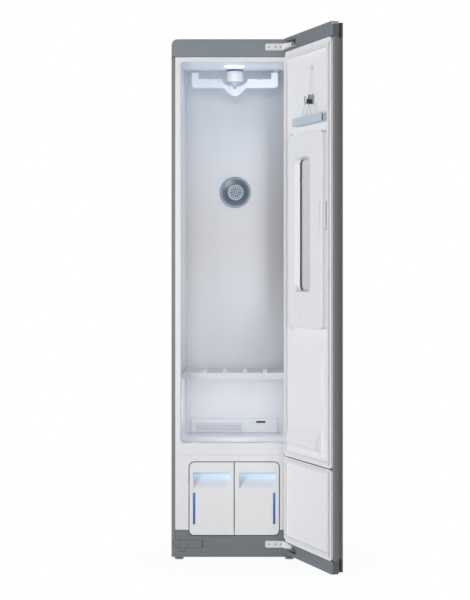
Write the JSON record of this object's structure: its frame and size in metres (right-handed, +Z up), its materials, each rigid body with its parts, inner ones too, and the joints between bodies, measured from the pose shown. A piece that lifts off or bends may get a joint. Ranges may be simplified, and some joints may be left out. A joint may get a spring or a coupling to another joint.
{
  "type": "clothes care steam cabinet",
  "caption": "tall narrow steam cabinet for clothes with a white tub, a swinging hanger bar, a slatted shelf, pull-out tanks and a hinged door that carries a trouser press",
  "frame": {"origin": "on the floor, under the middle of the bounding box of the cabinet with its door open as in the picture", "axes": "+Z up, +X to the viewer's right when facing the front, -Y out of the front; the door stands 110 degrees open at rest"},
  "size_m": [0.586, 0.9692, 1.85],
  "materials": {
    "case_steel": "satin grey paint on sheet steel",
    "header_grey": "satin grey",
    "galvanised_sheet": "galvanised sheet and bare metal",
    "front_grey": "satin grey",
    "front_white": "soft gloss white",
    "foot_plastic": "dark grey pad",
    "tub_white": "soft gloss cool white",
    "foam": "hard foam",
    "ring_blue": "gloss blue",
    "vent_metal": "bright turned metal",
    "ring_cyan": "gloss light cyan",
    "lamp_lens": "milky lens",
    "drive_black": "matte black",
    "tank_white": "soft gloss white",
    "tank_clear": "clear blue plastic",
    "board_green": "circuit board",
    "hinge_cream": "light cream paint",
    "edge_metal": "warm grey satin",
    "dark_glass": "dark glossy panel",
    "gasket_rubber": "light grey rubber",
    "press_felt": "light grey pad",
    "clamp_silver": "silver blue",
    "clasp_chrome": "bright chrome"
  },
  "bodies": {
    "casing": {"side_panel_left": "case_steel", "side_panel_right": "case_steel", "top_cover": "case_steel", "header_panel": "header_grey", "back_panel": "galvanised_sheet", "base_pan": "galvanised_sheet", "base_front": "front_grey", "hinge_blank_cover": "front_grey", "lower_front_panel": "front_white", "foot_rear_left": "foot_plastic", "foot_rear_right": "foot_plastic", "cavity_liner": "tub_white", "foam_jacket": "foam", "vent_ring": "ring_blue", "vent_dish": "vent_metal", "vent_inner_ring": "ring_cyan", "intake_panel": "front_white", "steam_nozzle": "tub_white", "ceiling_panel": "tub_white", "lamp_lens": "lamp_lens", "drive_housing": "front_white", "drive_motor": "drive_black", "rail_carrier": "galvanised_sheet", "tank_bay": "tub_white", "compressor": "drive_black", "heat_exchanger": "galvanised_sheet", "blower_housing": "front_grey", "steam_generator": "galvanised_sheet", "water_pump": "drive_black", "control_board": "board_green", "hinge_plate_upper": "hinge_cream", "hinge_plate_lower": "hinge_cream"},
    "foot_left": {"foot_front_left": "foot_plastic"},
    "foot_right": {"foot_front_right": "foot_plastic"},
    "rack": {"shelf": "front_white"},
    "filter": {"lint_filter": "tub_white"},
    "rotor": {"drive_rotor": "drive_black"},
    "hanger": {"hanger_bar": "front_white"},
    "water_tank": {"water_tank_front": "tank_white", "water_tank_shell": "tank_clear"},
    "drain_tank": {"drain_tank_front": "tank_white", "drain_tank_shell": "tank_clear"},
    "fan": {"blower_wheel": "drive_black"},
    "door": {"door_skin": "case_steel", "door_cap_top": "front_grey", "door_cap_bottom": "front_grey", "door_edge_frame": "edge_metal", "door_handle_rail": "edge_metal", "door_core": "foam", "door_display": "dark_glass", "door_liner_upper": "tub_white", "door_liner_lower": "tub_white", "door_gasket_upper": "gasket_rubber", "door_gasket_lower": "gasket_rubber", "press_pad": "press_felt"},
    "press": {"press_cover": "front_white"},
    "latch": {"press_latch": "tub_white"},
    "clamp": {"clamp_back": "clamp_silver"},
    "clamp_jaw": {"clamp_front": "clamp_silver"},
    "clasp": {"clamp_clasp": "clasp_chrome"}
  },
  "joints": [
    {"name": "door_swing", "type": "hinge", "parent": "casing", "child": "door", "pos_m": [0.1345, -0.07419, 0], "axis": [0, 0, 1], "range_deg": [-110, 10]},
    {"name": "press_swing", "type": "hinge", "parent": "door", "child": "press", "pos_m": [0.12649, -0.1516, 1.1645], "axis": [0, 0, -1], "range_deg": [0, 90]},
    {"name": "latch_push", "type": "slide", "parent": "press", "child": "latch", "axis": [-0.342, 0.9397, 0], "range_m": [0, 0.004], "stiffness_N_per_m": 400},
    {"name": "clamp_lift", "type": "slide", "parent": "door", "child": "clamp", "axis": [0, 0, 1], "range_m": [0, 0.045]},
    {"name": "clamp_open", "type": "hinge", "parent": "clamp", "child": "clamp_jaw", "pos_m": [0.17836, -0.33066, 1.606], "axis": [-0.342, 0.9397, 0], "range_deg": [0, 8]},
    {"name": "clasp_flip", "type": "hinge", "parent": "clamp_jaw", "child": "clasp", "pos_m": [0.17432, -0.33213, 1.591], "axis": [0.342, -0.9397, 0], "range_deg": [0, 60]},
    {"name": "drive_spin", "type": "hinge", "parent": "casing", "child": "rotor", "pos_m": [-0.0705, 0.17981, 1.72], "axis": [0, 0, 1], "range_deg": [-60, 60]},
    {"name": "bar_slide", "type": "slide", "parent": "casing", "child": "hanger", "axis": [1, 0, 0], "range_m": [-0.013, 0.013]},
    {"name": "shelf_lift", "type": "slide", "parent": "casing", "child": "rack", "axis": [0, 0, 1], "range_m": [0, 0.05]},
    {"name": "filter_pull", "type": "slide", "parent": "casing", "child": "filter", "axis": [0, -1, 0], "range_m": [0, 0.12]},
    {"name": "water_tank_pull", "type": "slide", "parent": "casing", "child": "water_tank", "axis": [0, -1, 0], "range_m": [0, 0.2]},
    {"name": "drain_tank_pull", "type": "slide", "parent": "casing", "child": "drain_tank", "axis": [0, -1, 0], "range_m": [0, 0.2]},
    {"name": "fan_spin", "type": "hinge", "parent": "casing", "child": "fan", "pos_m": [-0.0505, 0.44, 0.284], "axis": [0, 1, 0], "continuous": true},
    {"name": "foot_left_travel", "type": "slide", "parent": "casing", "child": "foot_left", "axis": [0, 0, -1], "range_m": [0, 0.012]},
    {"name": "foot_right_travel", "type": "slide", "parent": "casing", "child": "foot_right", "axis": [0, 0, -1], "range_m": [0, 0.012]}
  ],
  "couplings": [
    {"joint": "drive_spin", "follows": "bar_slide", "rad_per_m": 80.55}
  ]
}
